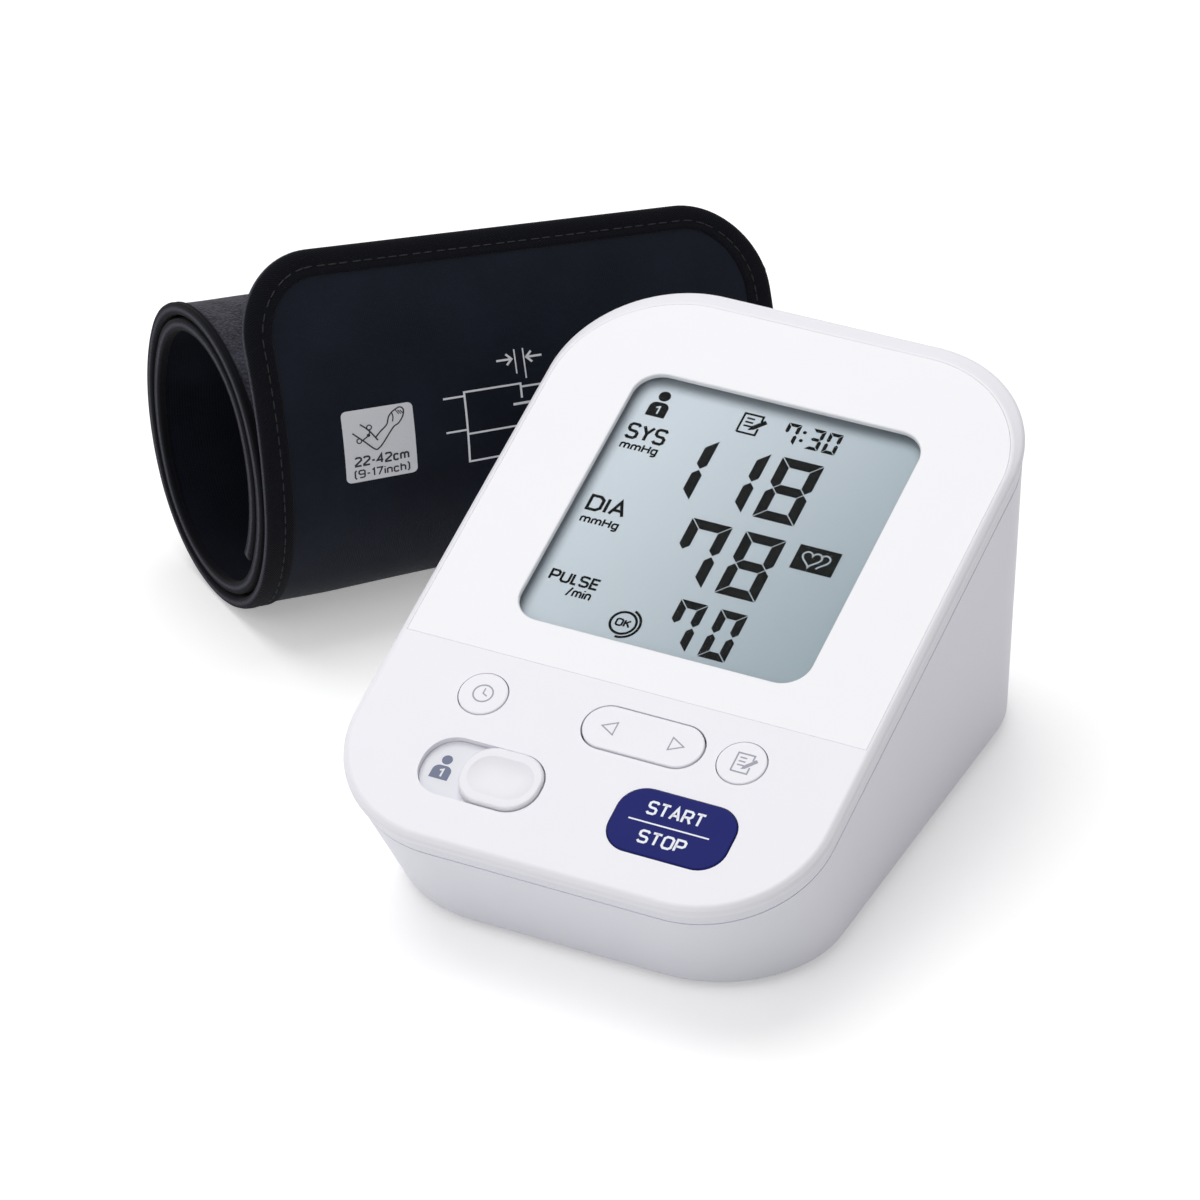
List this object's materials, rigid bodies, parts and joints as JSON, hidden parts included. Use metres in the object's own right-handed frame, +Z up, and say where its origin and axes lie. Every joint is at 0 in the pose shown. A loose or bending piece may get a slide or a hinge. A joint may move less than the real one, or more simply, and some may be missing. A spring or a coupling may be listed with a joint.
{
  "type": "blood pressure monitor",
  "caption": "Upper-arm blood pressure monitor: wedge-shaped table case with display, press keys and slide switch, air pump and valve inside, and its arm cuff rolled up beside it.",
  "frame": {"origin": "middle of the case's flat underside, on its mid plane; the feet reach below it", "axes": "+X to the user's right, +Y away from the user, +Z up"},
  "size_m": [0.2054, 0.2001, 0.0892],
  "materials": {
    "white_gloss": "gloss",
    "case_white": "fine satin",
    "clear_window": "polished",
    "lcd_glass": "satin",
    "lcd_grey": "matt",
    "frame_white": "moulded",
    "connector_rubber": "moulded",
    "board_green": "solder mask",
    "steel": "plain",
    "black_plastic": "moulded",
    "key_white": "satin",
    "key_blue": "gloss",
    "knob_grey": "satin",
    "black_rubber": "matt",
    "cell_jacket": "satin",
    "pump_plastic": "moulded",
    "magnet": "sintered",
    "tube_silicone": "translucent",
    "fitting_grey": "moulded",
    "copper_coil": "enamelled wire",
    "cuff_navy": "woven nylon",
    "cuff_black": "knit tape",
    "cuff_hook": "hook tape",
    "bladder_rubber": "plain",
    "curler_plastic": "sheet"
  },
  "bodies": {
    "case": {"top_cover": "white_gloss", "display_panel": "white_gloss", "window_lens": "clear_window", "bottom_case": "case_white", "case_screws": "steel", "rubber_feet": "black_rubber", "lcd_glass": "lcd_glass", "lcd_reflector": "lcd_grey", "lcd_frame": "frame_white", "lcd_connector_strips": "connector_rubber", "main_board": "board_green", "board_screws": "steel", "microcontroller": "black_plastic", "pressure_sensor": "black_plastic", "tact_switches": "black_plastic", "rocker_pin": "steel", "user_switch_plate": "frame_white", "slide_switch": "black_plastic", "battery_cell_1": "cell_jacket", "battery_cell_2": "cell_jacket", "battery_cell_3": "cell_jacket", "battery_cell_4": "cell_jacket", "battery_contacts": "steel", "pump_head": "pump_plastic", "pump_diaphragm": "black_rubber", "pump_drive_plate": "pump_plastic", "pump_housing": "pump_plastic", "pump_cradle": "black_rubber", "motor_can": "steel", "motor_end_cap": "black_plastic", "motor_magnets": "magnet", "air_manifold": "pump_plastic", "pump_tube": "tube_silicone", "jack_tube": "tube_silicone", "valve_tube": "tube_silicone", "sensor_tube": "tube_silicone", "air_jack": "fitting_grey", "power_inlet": "fitting_grey", "valve_yoke": "steel", "valve_coil": "copper_coil", "valve_spring": "steel"},
    "clock_key": {"clock_button": "key_white"},
    "memory_key": {"memory_button": "key_white"},
    "start_stop_key": {"start_stop_button": "key_blue"},
    "arrow_key": {"arrow_rocker": "key_white"},
    "user_switch": {"user_switch_knob": "knob_grey", "user_switch_carrier": "frame_white"},
    "door": {"battery_door": "case_white"},
    "motor_spin": {"motor_rotor": "steel", "motor_shaft": "steel"},
    "valve_rod": {"valve_plunger": "steel"},
    "cuff": {"cuff_cover": "cuff_navy", "cuff_lining": "cuff_black", "cuff_bladder": "bladder_rubber", "cuff_curler": "curler_plastic", "cuff_binding": "cuff_black", "cuff_hook_patch": "cuff_hook", "cuff_air_port": "fitting_grey"}
  },
  "joints": [
    {"name": "clock_press", "type": "slide", "parent": "case", "child": "clock_key", "axis": [0, 0.3469, -0.9379], "range_m": [0, 0.0008], "stiffness_N_per_m": 600},
    {"name": "memory_press", "type": "slide", "parent": "case", "child": "memory_key", "axis": [0, 0.3469, -0.9379], "range_m": [0, 0.0008], "stiffness_N_per_m": 600},
    {"name": "start_stop_press", "type": "slide", "parent": "case", "child": "start_stop_key", "axis": [0, 0.3469, -0.9379], "range_m": [0, 0.0008], "stiffness_N_per_m": 600},
    {"name": "arrow_rock", "type": "hinge", "parent": "case", "child": "arrow_key", "pos_m": [0.007, -0.0429, 0.03645], "axis": [0, 0.9379, 0.3469], "range_deg": [-2.5, 2.5], "stiffness_Nm_per_rad": 0.2},
    {"name": "user_slide", "type": "slide", "parent": "case", "child": "user_switch", "axis": [1, 0, 0], "range_m": [-0.0088, 0]},
    {"name": "door_hinge", "type": "hinge", "parent": "case", "child": "door", "pos_m": [0, 0.06463, 0.00822], "axis": [-1, 0, 0], "range_deg": [0, 75]},
    {"name": "motor_turn", "type": "hinge", "parent": "case", "child": "motor_spin", "pos_m": [0.0086, 0.014, 0.018], "axis": [1, 0, 0], "continuous": true},
    {"name": "valve_close", "type": "slide", "parent": "case", "child": "valve_rod", "axis": [0, 1, 0], "range_m": [0, 0.0008], "stiffness_N_per_m": 150, "deforming": ["valve_spring"]},
    {"name": "cuff_lift", "type": "slide", "parent": "case", "child": "cuff", "axis": [0, 0, 1], "range_m": [0, 0.15]}
  ]
}
